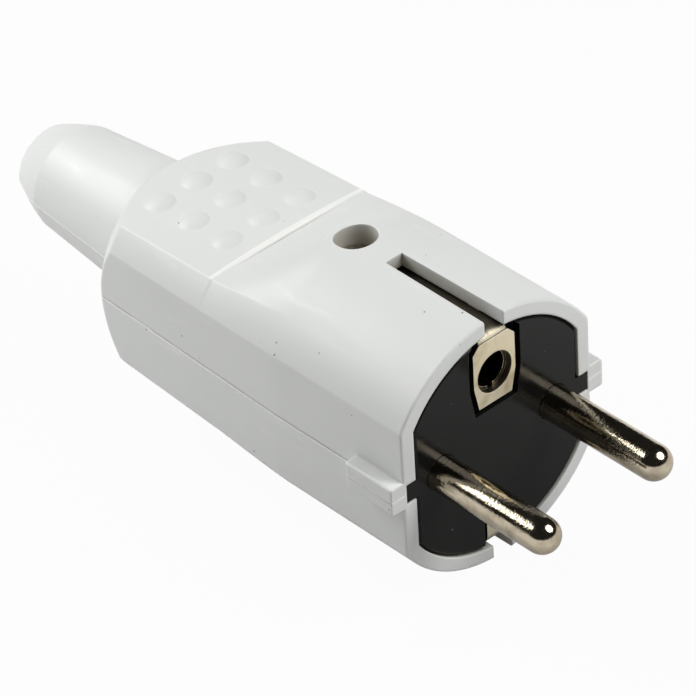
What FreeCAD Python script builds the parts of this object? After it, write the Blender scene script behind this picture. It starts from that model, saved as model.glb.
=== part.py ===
import FreeCAD
import Part
import Sketcher
import os

# Rewirable type F mains plug: two moulded half shells around a contact carrier.
# Frame: origin midway between the pins on the engagement face, pins along -Y, +Z up.
# The shells part on the plane Z = 0, which also holds the axes of both pins.

doc = FreeCAD.newDocument("type_f_plug")
sheet = doc.addObject("Spreadsheet::Sheet", "sheet")

# Driving dimensions in millimetres: alias, value, meaning
dimensions = [
    ("pin_spacing", 19.0, "between the pin axes"),
    ("pin_diameter", 4.8, "contact pins"),
    ("pin_length", 19.5, "from the engagement face to the tip"),
    ("pin_neck", 4.4, "groove turned in a pin just inside the carrier"),
    ("pin_lip", 0.8, "carrier lip that sits in the groove's place"),
    ("pin_root_diameter", 5.2, "thicker part of a pin behind the lip"),
    ("pin_head_diameter", 7.0, "terminal end of a pin"),
    ("pin_head_length", 10.0, "terminal end of a pin"),
    ("pin_fit", 0.05, "radial room of a pin in the carrier"),
    ("wire_hole", 3.2, "bore for the conductor"),
    ("wire_depth", 8.0, "depth of the conductor bore"),
    ("terminal_setback", 4.0, "terminal screw axis behind the head's front"),
    ("terminal_screw", 3.0, "terminal screw thread"),
    ("terminal_head", 5.0, "terminal screw head diameter"),
    ("terminal_head_height", 2.0, "terminal screw head"),
    ("terminal_stickout", 0.6, "gap under a terminal screw head"),
    ("barrel_radius", 18.45, "round front part of the housing"),
    ("barrel_flats", 31.8, "across the side flats"),
    ("barrel_length", 23.0, "straight part of the housing"),
    ("wall", 2.0, "housing wall"),
    ("rear_wall", 9.0, "rear wall at its middle, behind the cable sleeve"),
    ("shoulder_inset", 1.4, "shoulders of the chamber inside the outer ones"),
    ("parting_bevel", 0.2, "bevel along the parting line"),
    ("pad_front", 36.8, "front edge of the thumb pads"),
    ("pad_width", 25.7, "front edge of the thumb pads"),
    ("pad_width_rear", 24.9, "rear edge of the thumb pads"),
    ("pad_height", 12.1, "side edge of a pad, at its front"),
    ("pad_fall", 1.1, "a pad's fall towards the rear"),
    ("pad_crown", 0.5, "rise of a pad's middle over its sides"),
    ("slope_crown", 0.1, "rise of the slope's foot at its middle"),
    ("pad_bevel", 0.3, "bevel at a pad's front"),
    ("pad_step", 0.1, "side edge of a pad over the slope's foot"),
    ("grip_flats", 30.8, "across the flats at the pad front"),
    ("grip_flats_rear", 28.9, "across the flats at the rear"),
    ("grip_side", 8.8, "half height of the side flats at the pad front"),
    ("grip_side_rear", 8.1, "half height of the side flats at the rear"),
    ("body_length", 63.2, "engagement face to the top of the rear dome"),
    ("rear_radius", 21.0, "domed rear wall"),
    ("rear_round", 0.5, "rounding around the rear wall"),
    ("rim_round", 0.3, "rounding around the front rim"),
    ("bump_radius", 2.05, "grip bump"),
    ("bump_height", 0.55, "grip bump"),
    ("bump_pitch_x", 6.05, "grip bumps across"),
    ("bump_pitch_y", 6.35, "grip bumps along"),
    ("bump_middle", 47.7, "middle row of grip bumps"),
    ("rib_width", 35.9, "across the side ribs"),
    ("rib_length", 8.2, "side ribs, from the front rim"),
    ("rib_half", 2.0, "half height of a side rib"),
    ("rib_round", 0.4, "rounding of a side rib"),
    ("sleeve_root", 9.45, "cable sleeve radius inside the rear dome"),
    ("sleeve_ring", 7.65, "cable sleeve radius before its rounded end"),
    ("sleeve_tip", 5.5, "cable sleeve radius at the very end"),
    ("sleeve_end", 84.4, "engagement face to the end of the sleeve"),
    ("sleeve_nose", 5.6, "length of the rounded end"),
    ("sleeve_nose_radius", 30.0, "curve of the rounded end"),
    ("sleeve_overlap", 4.0, "sleeve inside the rear wall"),
    ("sleeve_step", 0.3, "lower sleeve half inside the upper one"),
    ("cable_bore", 4.7, "radius of the cable bore"),
    ("cable_mouth", 6.5, "radius of the bore's inner mouth"),
    ("slot_front", 3.25, "earth slot width at the rim"),
    ("slot_rear", 2.75, "earth slot width at its end"),
    ("slot_length", 17.4, "earth slot"),
    ("face_recess", 0.1, "carrier face behind the rim"),
    ("face_bevel", 0.4, "bevel around the carrier face"),
    ("carrier_fit", 0.15, "carrier to shell"),
    ("carrier_plate", 4.0, "front plate of the carrier"),
    ("ledge_width", 1.8, "ring in the shells that locks the carrier"),
    ("ledge_height", 1.0, "ring in the shells that locks the carrier"),
    ("carrier_flange", 1.6, "carrier flange behind the ring"),
    ("boss_end", 10.3, "rear of the carrier bosses"),
    ("key_reach", 1.4, "carrier side key beyond the inner flats"),
    ("key_half", 1.3, "half height of a side key"),
    ("key_length", 3.0, "side key, along the plug"),
    ("strap_width", 4.6, "earth strap"),
    ("strap_thickness", 1.0, "earth strap"),
    ("strap_front", 0.2, "earth plate behind the engagement face"),
    ("strap_rear", 18.5, "middle of the strap's rear bridge"),
    ("strap_bend", 1.2, "bend at the middle of the strap"),
    ("strap_fit", 0.15, "strap to its neighbours"),
    ("plate_width", 6.95, "earth plate"),
    ("plate_drop", 0.9, "shoulders of the earth plate below the strip"),
    ("plate_corner", 1.1, "cut corners of the earth plate's shoulders"),
    ("plate_waist", 9.0, "height where the plate starts to narrow"),
    ("plate_bottom", 5.6, "lower edge of the earth plate"),
    ("plate_foot", 5.5, "lower edge of the earth plate"),
    ("plate_room", 0.8, "earth plate to its recess"),
    ("tab_room", 0.5, "front tab to its recess"),
    ("tab_height", 4.2, "front tab of the lower strip"),
    ("earth_hole", 5.75, "hole for the socket's earth pin"),
    ("earth_height", 10.0, "earth hole above the pin axes"),
    ("tube_bore", 4.9, "earth contact tube"),
    ("tube_wall", 0.5, "earth contact tube"),
    ("tube_length", 11.0, "earth contact tube"),
    ("tube_slit", 0.8, "slit along the contact tube"),
    ("wing_reach", 10.2, "earth terminal wing, from the middle"),
    ("wing_height", 5.4, "earth terminal wing"),
    ("wing_middle", -8.5, "height of the earth terminal"),
    ("wing_screw", 7.2, "earth terminal screw, from the middle"),
    ("earth_screw", 3.5, "earth terminal screw thread"),
    ("earth_screw_head", 5.4, "earth terminal screw head"),
    ("earth_screw_length", 6.0, "earth terminal screw thread"),
    ("washer_side", 6.0, "square washer of the earth terminal"),
    ("washer_thickness", 0.8, "square washer of the earth terminal"),
    ("screw_place", 24.2, "housing screw behind the engagement face"),
    ("screw_well", 5.7, "hole over the housing screw"),
    ("screw_seat", 13.0, "height of the screw head's seat"),
    ("screw_diameter", 3.0, "housing screw thread"),
    ("screw_head", 5.3, "housing screw head"),
    ("screw_head_height", 1.9, "housing screw head"),
    ("screw_room", 0.2, "radial room around a screw thread"),
    ("driver_slot", 0.8, "driver slots in the screw heads"),
    ("driver_depth", 0.9, "driver slots in the screw heads"),
    ("screw_boss", 4.0, "radius of the screw bosses"),
    ("nut_flats", 5.5, "housing nut across flats"),
    ("nut_height", 2.4, "housing nut"),
    ("nut_seat", 11.0, "nut's upper face below the parting plane"),
    ("nut_fit", 0.1, "nut in its pocket"),
    ("clamp_place", 46.0, "cord clamp behind the engagement face"),
    ("clamp_spacing", 17.0, "between the cord clamp screws"),
    ("clamp_post", 2.8, "radius of the clamp posts"),
    ("clamp_floor", 4.0, "top of the clamp posts below the parting plane"),
    ("clamp_bar", 23.0, "cord clamp bar length"),
    ("clamp_bar_width", 6.0, "cord clamp bar"),
    ("clamp_bar_height", 2.8, "cord clamp bar"),
    ("clamp_hollow", 7.0, "radius of the bar's cord hollow"),
    ("clamp_bite", 1.2, "depth of the bar's cord hollow"),
    ("clamp_screw", 3.0, "cord clamp screw thread"),
    ("clamp_screw_head", 5.0, "cord clamp screw head"),
    ("clamp_screw_head_height", 1.8, "cord clamp screw head"),
    ("clamp_screw_length", 7.0, "cord clamp screw thread"),
]
for row, (alias, value, meaning) in enumerate(dimensions, start=1):
    sheet.set("A%d" % row, meaning)
    sheet.set("B%d" % row, str(value))
    sheet.setAlias("B%d" % row, alias)
doc.recompute()
near = 1e-4


def sized(text):
    # Turns a formula of plain dimension names into one that reads the sheet.
    for alias in sorted((row[0] for row in dimensions), key=len, reverse=True):
        text = text.replace("<" + alias + ">", "sheet." + alias)
    return text


def value_of(text):
    result = sheet.evalExpression(sized(text))
    return float(getattr(result, "Value", result))


def bind(item, field, text):
    item.setExpression(field, sized(text))


def new_body(label):
    body = doc.addObject("PartDesign::Body", label)
    body.Label = label
    return body


def new_sketch(body, name, role, offset=None):
    # A sketch on one of the body's own origin planes, moved along its normal by a formula.
    sketch = body.newObject("Sketcher::SketchObject", name)
    plane = next(item for item in body.Origin.OriginFeatures if item.Role == role)
    sketch.AttachmentSupport = [(plane, "")]
    sketch.MapMode = "FlatFace"
    if offset is not None:
        bind(sketch, "AttachmentOffset.Base.z", offset)
    return sketch


def hold(sketch, kind, geometry, point, text):
    index = sketch.addConstraint(Sketcher.Constraint(kind, -1, 1, geometry, point, value_of(text)))
    bind(sketch, "Constraints[%d]" % index, text)


def outline(sketch, corners):
    # Closed outline: each corner is (x, y) or (x, y, radius), the radius curving the edge that
    # leaves it. Outlines run anticlockwise; a radius that starts with a minus bows inwards.
    places = [FreeCAD.Vector(value_of(corner[0]), value_of(corner[1]), 0) for corner in corners]
    ends = []
    for number, corner in enumerate(corners):
        start = places[number]
        finish = places[(number + 1) % len(places)]
        if len(corner) == 2:
            edge = sketch.addGeometry(Part.LineSegment(start, finish))
            ends.append((edge, 1, 2))
            continue
        hollow = corner[2].startswith("-")
        formula = corner[2].lstrip("-")
        radius = value_of(formula)
        chord = finish - start
        middle = (start + finish) * 0.5
        rise = max(radius * radius - chord.Length * chord.Length / 4, 0.0) ** 0.5
        normal = FreeCAD.Vector(-chord.y, chord.x, 0).normalize()
        centre = middle + normal * (-rise if hollow else rise)
        away = (middle - centre) if rise > near else normal * (1 if hollow else -1)
        top = centre + away.normalize() * radius
        arc = Part.ArcOfCircle(start, top, finish)
        edge = sketch.addGeometry(arc)
        ends.append((edge, 2, 1) if hollow else (edge, 1, 2))
        radius_index = sketch.addConstraint(Sketcher.Constraint("Radius", edge, radius))
        bind(sketch, "Constraints[%d]" % radius_index, formula)
    for number, (edge, first, last) in enumerate(ends):
        after = ends[(number + 1) % len(ends)]
        sketch.addConstraint(Sketcher.Constraint("Coincident", edge, last, after[0], after[1]))
        hold(sketch, "DistanceX", edge, first, corners[number][0])
        hold(sketch, "DistanceY", edge, first, corners[number][1])
    return sketch


def circle(sketch, x, y, radius):
    centre = FreeCAD.Vector(value_of(x), value_of(y), 0)
    edge = sketch.addGeometry(Part.Circle(centre, FreeCAD.Vector(0, 0, 1), value_of(radius)))
    hold(sketch, "DistanceX", edge, 3, x)
    hold(sketch, "DistanceY", edge, 3, y)
    index = sketch.addConstraint(Sketcher.Constraint("Radius", edge, value_of(radius)))
    bind(sketch, "Constraints[%d]" % index, radius)
    return sketch


def box(sketch, x_low, x_high, y_low, y_high):
    return outline(sketch, [(x_low, y_low), (x_high, y_low), (x_high, y_high), (x_low, y_high)])


def extrude(body, kind, sketch, length, backwards=False):
    # A Pad or Pocket of a stated length; a pocket has to take material away.
    before = body.Shape.Volume if body.Tip else 0.0
    feature = body.newObject("PartDesign::" + kind, sketch.Name + "_" + kind.lower())
    feature.Profile = sketch
    feature.Reversed = backwards
    bind(feature, "Length", length)
    doc.recompute()
    change = body.Shape.Volume - before
    if (change >= 0) == (kind == "Pocket"):
        raise ValueError("%s changes the volume by %.3f" % (feature.Name, change))
    return feature


def loft(body, kind, sketches, ruled):
    feature = body.newObject("PartDesign::" + kind, sketches[0].Name + "_loft")
    feature.Profile = sketches[0]
    feature.Sections = sketches[1:]
    feature.Ruled = ruled
    doc.recompute()
    return feature


def revolve(body, kind, sketch, angle, backwards=False):
    # Turns a sketch about the body's Y axis.
    before = body.Shape.Volume if body.Tip else 0.0
    feature = body.newObject("PartDesign::" + kind, sketch.Name + "_turn")
    feature.Profile = sketch
    axis = next(item for item in body.Origin.OriginFeatures if item.Role == "Y_Axis")
    feature.ReferenceAxis = (axis, [""])
    feature.Angle = angle
    feature.Reversed = backwards
    doc.recompute()
    change = body.Shape.Volume - before
    if (change >= 0) == (kind == "Groove"):
        raise ValueError("%s changes the volume by %.3f" % (feature.Name, change))
    return feature


def edge_points(edge):
    # Both ends and the middle of an edge.
    span = edge.LastParameter - edge.FirstParameter
    return [edge.valueAt(edge.FirstParameter + share * span) for share in (0.0, 0.5, 1.0)]


def soften(body, name, radius, chosen):
    # Rounds the edges whose points pass a test.
    base = body.Tip
    numbered = enumerate(base.Shape.Edges, start=1)
    feature = body.newObject("PartDesign::Fillet", name)
    feature.Base = (base, ["Edge%d" % number for number, edge in numbered if chosen(edge_points(edge))])
    bind(feature, "Radius", radius)
    doc.recompute()
    return feature


def rear_edge(points):
    # Edges of the domed rear wall, without those of the parting bevel.
    centre = FreeCAD.Vector(0, value_of("<body_length> - <rear_radius>"), 0)
    reach = [point.distanceToPoint(centre) for point in points]
    above = max(point.z for point in points) > value_of("2 * <parting_bevel>")
    return above and all(abs(length - value_of("<rear_radius>")) < near for length in reach)


def rim_edge(points):
    above = max(point.z for point in points) > value_of("2 * <parting_bevel>")
    return above and all(abs(point.y) < near for point in points)


def rib_edge(points):
    # Edges of the ribs' outer faces, without those in the parting plane and the rim.
    outer = all(abs(abs(point.x) - value_of("<rib_width> / 2")) < near for point in points)
    above = max(point.z for point in points) > near
    behind = max(point.y for point in points) > near
    return outer and above and behind


def blend(first, last, share):
    return "(%s) * %s + (%s) * %s" % (first, 1 - share, last, share)


# Housing sections: half width, flat top, shoulder x, shoulder z and rise of the crown
barrel = {
    "width": "<barrel_flats> / 2",
    "side": "sqrt(<barrel_radius>^2 - (<barrel_flats> / 2)^2)",
    "shoulder": "<pad_width> / 2",
    "edge": "sqrt(<barrel_radius>^2 - (<pad_width> / 2)^2)",
    "rise": "<barrel_radius> - sqrt(<barrel_radius>^2 - (<pad_width> / 2)^2)",
}
slope_foot = {
    "width": "<grip_flats> / 2",
    "side": "<grip_side>",
    "shoulder": "<pad_width> / 2",
    "edge": "<pad_height> - <pad_step>",
    "rise": "<slope_crown>",
}
pad_start = dict(slope_foot, edge="<pad_height>", rise="<pad_crown>")
pad_end = {
    "width": "<grip_flats_rear> / 2",
    "side": "<grip_side_rear>",
    "shoulder": "<pad_width_rear> / 2",
    "edge": "<pad_height> - <pad_fall>",
    "rise": "<pad_crown>",
}
pad_place = "(<pad_front> + <pad_bevel>)"
inner_radius = "(<barrel_radius> - <wall>)"
inner_flat = "(<barrel_flats> / 2 - <wall>)"


def section(sketch, form, bevel=None):
    # Half section of the housing above the parting plane, as an arch of three arcs on two flats.
    width = form["width"]
    shoulder = form["shoulder"]
    crown_radius = "((%s)^2 + (%s)^2) / (2 * (%s))" % (shoulder, form["rise"], form["rise"])
    right = [(width, "0")]
    left = [("-(%s)" % width, "0")]
    if bevel:
        right = [("%s - %s" % (width, bevel), "0"), (width, bevel)]
        left = [("-(%s)" % width, bevel), ("-(%s - %s)" % (width, bevel), "0")]
    return outline(sketch, right + [
        (width, form["side"], "<barrel_radius>"),
        (shoulder, form["edge"], crown_radius),
        ("-(%s)" % shoulder, form["edge"], "<barrel_radius>"),
        ("-(%s)" % width, form["side"]),
    ] + left)


def inset(form, depth):
    # The same section moved inwards by a wall thickness.
    return {
        "width": "%s - %s" % (form["width"], depth),
        "side": "%s - %s / 2" % (form["side"], depth),
        "shoulder": "%s - <shoulder_inset>" % form["shoulder"],
        "edge": "%s - %s" % (form["edge"], depth),
        "rise": form["rise"],
    }


def round_outline(sketch, depth):
    # The barrel's half section moved inwards, with one arc about the plug's axis.
    radius = "(<barrel_radius> - (%s))" % depth
    width = "(<barrel_flats> / 2 - (%s))" % depth
    side = "sqrt(%s^2 - %s^2)" % (radius, width)
    return outline(sketch, [(width, "0"), (width, side, radius), ("-" + width, side), ("-" + width, "0")])


def station(body, name, form, place, bevel=None):
    # A section of the housing at a stated distance behind the engagement face.
    return section(new_sketch(body, name, "XZ_Plane", "-(%s)" % place), form, bevel)


# How far the crown has fallen along the slope between the barrel and the pad
slope_shares = [(0.0, 0.0), (0.222, 0.063), (0.444, 0.267), (0.722, 0.626), (1.0, 1.0)]


def housing_outside(body, sleeve_inset):
    bevel = "<parting_bevel>"
    front = section(new_sketch(body, "barrel_section", "XZ_Plane"), barrel, bevel)
    extrude(body, "Pad", front, "<barrel_length>", backwards=True)
    stations = []
    for number, (along, fall) in enumerate(slope_shares):
        form = {key: blend(barrel[key], slope_foot[key], along) for key in barrel}
        form["rise"] = blend(barrel["rise"], slope_foot["rise"], fall)
        form["edge"] = blend(barrel["edge"], slope_foot["edge"], fall)
        place = blend("<barrel_length>", "<pad_front>", along)
        stations.append(station(body, "slope_%d" % number, form, place, bevel))
    loft(body, "AdditiveLoft", stations, False)
    grip = [
        station(body, "grip_front", slope_foot, "<pad_front>", bevel),
        station(body, "grip_bevel", pad_start, pad_place, bevel),
        station(body, "grip_rear", pad_end, "<body_length>", bevel),
    ]
    loft(body, "AdditiveLoft", grip, True)
    reach = "(<barrel_flats> / 2 + <wall>)"
    corner = "<body_length> - <rear_radius> + sqrt(<rear_radius>^2 - %s^2)" % reach
    dome = outline(new_sketch(body, "rear_dome", "XY_Plane"), [
        (reach, corner),
        (reach, "<body_length> + <wall>"),
        ("0", "<body_length> + <wall>"),
        ("0", "<body_length>", "-<rear_radius>"),
    ])
    revolve(body, "Groove", dome, 180, backwards=True)
    soften(body, "rear_rounding", "<rear_round>", rear_edge)
    soften(body, "rim_rounding", "<rim_round>", rim_edge)
    sleeve = outline(new_sketch(body, "sleeve_outline", "XY_Plane"), [
        ("<cable_bore>", "<body_length> - <sleeve_overlap>"),
        ("<sleeve_root> - %s" % sleeve_inset, "<body_length> - <sleeve_overlap>"),
        ("<sleeve_ring> - %s" % sleeve_inset, "<sleeve_end> - <sleeve_nose>", "<sleeve_nose_radius>"),
        ("<sleeve_tip> - %s" % sleeve_inset, "<sleeve_end>"),
        ("<cable_bore>", "<sleeve_end>"),
    ])
    revolve(body, "Revolution", sleeve, 180, backwards=True)


def side_ribs(body):
    ribs = new_sketch(body, "ribs", "XZ_Plane")
    root = "<barrel_flats> / 2 - <wall> / 2"
    for side in ("", "-"):
        inner = "%s(%s)" % (side, root)
        outer = "%s(<rib_width> / 2)" % side
        if side:
            inner, outer = outer, inner
        box(ribs, inner, outer, "0", "<rib_half>")
    extrude(body, "Pad", ribs, "<rib_length>", backwards=True)
    soften(body, "rib_rounding", "<rib_round>", rib_edge)


def grip_bumps(body):
    # Three rows of three low domes, each the cap of a sphere that stands out of the pad.
    dome = "((<bump_radius>^2 + <bump_height>^2) / (2 * <bump_height>))"
    fall = "<pad_fall> / (<body_length> - %s)" % pad_place
    for row in (-1, 0, 1):
        for column in (-1, 0, 1):
            along = "<bump_middle> + %d * <bump_pitch_y>" % row
            across = "%d * <bump_pitch_x>" % column
            crown = "<pad_crown> * (1 - (%s / (<pad_width> / 2))^2)" % across
            height = "<pad_height> + %s - (%s - %s) * %s" % (crown, along, pad_place, fall)
            bump = body.newObject("PartDesign::AdditiveSphere", "bump_%d_%d" % (row + 1, column + 1))
            bind(bump, "Radius", dome)
            bind(bump, "AttachmentOffset.Base.x", across)
            bind(bump, "AttachmentOffset.Base.y", along)
            bind(bump, "AttachmentOffset.Base.z", "%s + <bump_height> - %s" % (height, dome))
            plane = next(item for item in body.Origin.OriginFeatures if item.Role == "XY_Plane")
            bump.AttachmentSupport = [(plane, "")]
            bump.MapMode = "FlatFace"
    doc.recompute()


ledge_front = "(<face_recess> + <carrier_plate> + <carrier_fit>)"
ledge_rear = "(%s + <ledge_width>)" % ledge_front


def housing_inside(body):
    # The locking ring stays between the front pocket and the chamber behind it.
    seat = round_outline(new_sketch(body, "carrier_seat", "XZ_Plane"), "<wall>")
    extrude(body, "Pocket", seat, ledge_front)
    ring = round_outline(new_sketch(body, "ring_bore", "XZ_Plane"), "<wall> + <ledge_height>")
    extrude(body, "Pocket", ring, "<barrel_length>")
    chamber = new_sketch(body, "chamber", "XZ_Plane", "-" + ledge_rear)
    round_outline(chamber, "<wall>")
    extrude(body, "Pocket", chamber, "<barrel_length> - %s" % ledge_rear)
    cavity = [
        station(body, "cavity_front", inset(barrel, "<wall>"), "<barrel_length>"),
        station(body, "cavity_middle", inset(pad_start, "<wall>"), "<pad_front>"),
        station(body, "cavity_rear", inset(pad_end, "<wall>"), "<body_length> - <rear_wall>"),
    ]
    loft(body, "SubtractiveLoft", cavity, True)
    channel = new_sketch(body, "strap_channel", "XZ_Plane")
    room = "(<strap_width> / 2 + <strap_fit>)"
    ceiling = "sqrt(%s^2 - %s^2)" % (inner_radius, room)
    box(channel, "-" + room, room, "%s - 2 * <ledge_height>" % ceiling, ceiling)
    extrude(body, "Pocket", channel, "<barrel_length>")
    slot = outline(new_sketch(body, "earth_slot", "XY_Plane"), [
        ("-<slot_front> / 2", "-<wall>"),
        ("<slot_front> / 2", "-<wall>"),
        ("<slot_rear> / 2", "<slot_length>"),
        ("-<slot_rear> / 2", "<slot_length>"),
    ])
    extrude(body, "Pocket", slot, "<barrel_radius> + <wall>", backwards=True)
    notches = new_sketch(body, "key_notches", "XY_Plane")
    reach = "(%s + <key_reach> + <carrier_fit>)" % inner_flat
    depth = "<face_recess> + <key_length> + <carrier_fit>"
    box(notches, "%s - <wall>" % inner_flat, reach, "-<wall>", depth)
    box(notches, "-" + reach, "-(%s - <wall>)" % inner_flat, "-<wall>", depth)
    extrude(body, "Pocket", notches, "<key_half> + <carrier_fit>", backwards=True)
    bore = outline(new_sketch(body, "cable_passage", "XY_Plane"), [
        ("0", "<body_length> - <rear_wall> - <wall>"),
        ("<cable_mouth>", "<body_length> - <rear_wall> - <wall>"),
        ("<cable_bore>", "<body_length>"),
        ("<cable_bore>", "<sleeve_end> + <wall>"),
        ("0", "<sleeve_end> + <wall>"),
    ])
    revolve(body, "Groove", bore, 180, backwards=True)


def screw_pillar(body):
    pillar = circle(new_sketch(body, "pillar", "XY_Plane"), "0", "<screw_place>", "<screw_boss>")
    extrude(body, "Pad", pillar, "<barrel_radius> - <wall> / 2")
    shaft = new_sketch(body, "screw_hole", "XY_Plane")
    circle(shaft, "0", "<screw_place>", "<screw_diameter> / 2 + <screw_room>")
    extrude(body, "Pocket", shaft, "<barrel_radius> + <wall>", backwards=True)


def upper_shell():
    body = new_body("upper_shell")
    housing_outside(body, "0")
    side_ribs(body)
    grip_bumps(body)
    housing_inside(body)
    screw_pillar(body)
    well = new_sketch(body, "screw_well_hole", "XY_Plane", "<screw_seat>")
    circle(well, "0", "<screw_place>", "<screw_well> / 2")
    extrude(body, "Pocket", well, "<barrel_radius>", backwards=True)
    return body


def lower_shell():
    # Built like the upper one, then turned half round about the plug's axis.
    body = new_body("lower_shell")
    housing_outside(body, "<sleeve_step>")
    side_ribs(body)
    grip_bumps(body)
    housing_inside(body)
    screw_pillar(body)
    pocket = new_sketch(body, "nut_pocket", "XY_Plane", "<nut_seat>")
    hexagon(pocket, "<screw_place>", "<nut_flats> / 2 + <nut_fit>")
    extrude(body, "Pocket", pocket, "<barrel_radius>", backwards=True)
    posts = new_sketch(body, "clamp_posts", "XY_Plane", "<clamp_floor>")
    for side in ("", "-"):
        circle(posts, side + "<clamp_spacing> / 2", "<clamp_place>", "<clamp_post>")
    extrude(body, "Pad", posts, "<pad_height> - <pad_fall> - <wall> / 2 - <clamp_floor>")
    threads = new_sketch(body, "clamp_threads", "XY_Plane", "<clamp_floor>")
    for side in ("", "-"):
        circle(threads, side + "<clamp_spacing> / 2", "<clamp_place>", "<clamp_screw> / 2 + <pin_fit>")
    depth = "<clamp_screw_length> - <clamp_bar_height> + <screw_room>"
    extrude(body, "Pocket", threads, depth, backwards=True)
    body.Placement = FreeCAD.Placement(FreeCAD.Vector(), FreeCAD.Rotation(FreeCAD.Vector(0, 1, 0), 180))
    return body


def hexagon(sketch, y, inner):
    # A hexagon about (0, y) with two corners on the sketch's own X direction.
    corner = "(%s) / cos(30)" % inner
    half = "(%s) / cos(30) / 2" % inner
    return outline(sketch, [
        (corner, y),
        (half, "%s + %s" % (y, inner)),
        ("-" + half, "%s + %s" % (y, inner)),
        ("-" + corner, y),
        ("-" + half, "%s - (%s)" % (y, inner)),
        (half, "%s - (%s)" % (y, inner)),
    ])


def ring_section(sketch, depth):
    # The barrel's full round section with its two flats, moved inwards.
    radius = "(<barrel_radius> - (%s))" % depth
    width = "(<barrel_flats> / 2 - (%s))" % depth
    side = "sqrt(%s^2 - %s^2)" % (radius, width)
    return outline(sketch, [
        (width, "-" + side),
        (width, side, radius),
        ("-" + width, side),
        ("-" + width, "-" + side, radius),
    ])


strap_top = "(sqrt(%s^2 - (<strap_width> / 2)^2) - <strap_fit>)" % inner_radius
strap_middle = "(%s - <strap_thickness> / 2)" % strap_top
plate_rear = "(<strap_front> + <strap_thickness>)"
plate_top = "(%s - <plate_drop>)" % strap_top


def contact_carrier():
    body = new_body("contact_carrier")
    fitted = "<wall> + <carrier_fit>"
    bevel = [new_sketch(body, "face", "XZ_Plane", "-<face_recess>")]
    bevel.append(new_sketch(body, "face_edge", "XZ_Plane", "-(<face_recess> + <face_bevel>)"))
    ring_section(bevel[0], fitted + " + <face_bevel>")
    ring_section(bevel[1], fitted)
    loft(body, "AdditiveLoft", bevel, True)
    plate = new_sketch(body, "face_plate", "XZ_Plane", "-(<face_recess> + <face_bevel>)")
    ring_section(plate, fitted)
    extrude(body, "Pad", plate, "<carrier_plate> - <face_bevel>", backwards=True)
    neck_start = "(<face_recess> + <carrier_plate>)"
    neck_length = "(<ledge_width> + 2 * <carrier_fit>)"
    neck = new_sketch(body, "lock_groove", "XZ_Plane", "-" + neck_start)
    ring_section(neck, fitted + " + <ledge_height>")
    extrude(body, "Pad", neck, neck_length, backwards=True)
    boss_start = "(%s + %s)" % (neck_start, neck_length)
    flange = new_sketch(body, "back_flange", "XZ_Plane", "-" + boss_start)
    ring_section(flange, fitted)
    extrude(body, "Pad", flange, "<carrier_flange>", backwards=True)
    boss_radius = "%s - <carrier_fit> - <pin_spacing> / 2" % inner_flat
    bosses = new_sketch(body, "pin_bosses", "XZ_Plane", "-" + boss_start)
    for side in ("", "-"):
        circle(bosses, side + "<pin_spacing> / 2", "0", boss_radius)
    extrude(body, "Pad", bosses, "<boss_end> - %s" % boss_start, backwards=True)
    keys = new_sketch(body, "side_keys", "XZ_Plane", "-<face_recess>")
    tip = "(%s + <key_reach>)" % inner_flat
    root = "(%s - <wall>)" % inner_flat
    box(keys, root, tip, "-<key_half>", "<key_half>")
    box(keys, "-" + tip, "-" + root, "-<key_half>", "<key_half>")
    extrude(body, "Pad", keys, "<key_length>", backwards=True)
    bores = new_sketch(body, "pin_bores", "XZ_Plane")
    lipped = new_sketch(body, "root_bores", "XZ_Plane", "-(<face_recess> + <pin_lip>)")
    for side in ("", "-"):
        circle(bores, side + "<pin_spacing> / 2", "0", "<pin_diameter> / 2 + <pin_fit>")
        circle(lipped, side + "<pin_spacing> / 2", "0", "<pin_root_diameter> / 2 + <pin_fit>")
    extrude(body, "Pocket", bores, "<boss_end> + <wall>")
    extrude(body, "Pocket", lipped, "<boss_end>")
    tube = new_sketch(body, "tube_bore", "XZ_Plane")
    circle(tube, "0", "<earth_height>", "<tube_bore> / 2 + <tube_wall> + <strap_fit>")
    extrude(body, "Pocket", tube, "<boss_end> + <wall>")
    channels = new_sketch(body, "strap_channels", "XZ_Plane")
    room = "(<strap_width> / 2 + <strap_fit>)"
    floor = "(%s - <strap_thickness> - <strap_fit>)" % strap_top
    box(channels, "-" + room, room, floor, "<barrel_radius>")
    box(channels, "-" + room, room, "-<barrel_radius>", "-" + floor)
    extrude(body, "Pocket", channels, "<boss_end> + <wall>")
    recess = plate_outline(new_sketch(body, "plate_recess", "XZ_Plane"), "<plate_room>")
    extrude(body, "Pocket", recess, plate_rear + " + <strap_fit>")
    tab = new_sketch(body, "tab_recess", "XZ_Plane")
    side = "(<strap_width> / 2 + <tab_room>)"
    box(tab, "-" + side, side, "-<barrel_radius>", "-(%s - <tab_height> - <tab_room>)" % strap_top)
    extrude(body, "Pocket", tab, plate_rear + " + <strap_bend> + <strap_fit>")
    back = new_sketch(body, "bend_room", "XZ_Plane")
    box(back, "-" + room, room, "%s - <strap_bend> - <strap_thickness>" % strap_top, "<barrel_radius>")
    extrude(body, "Pocket", back, plate_rear + " + <strap_bend> + <strap_fit>")
    return body


def plate_outline(sketch, grow):
    # The earth plate seen from the front: cut shoulders, and sides that run in to a narrow foot.
    side = "(<plate_width> / 2 + %s)" % grow
    foot = "(<plate_foot> / 2 + %s)" % grow
    bottom = "<plate_bottom> - %s" % grow
    top = "%s + %s" % (plate_top, grow)
    return outline(sketch, [
        ("-" + foot, bottom),
        (foot, bottom),
        (side, "<plate_waist>"),
        (side, top + " - <plate_corner>"),
        (side + " - <plate_corner>", top),
        ("-(%s - <plate_corner>)" % side, top),
        ("-" + side, top + " - <plate_corner>"),
        ("-" + side, "<plate_waist>"),
    ])


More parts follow.
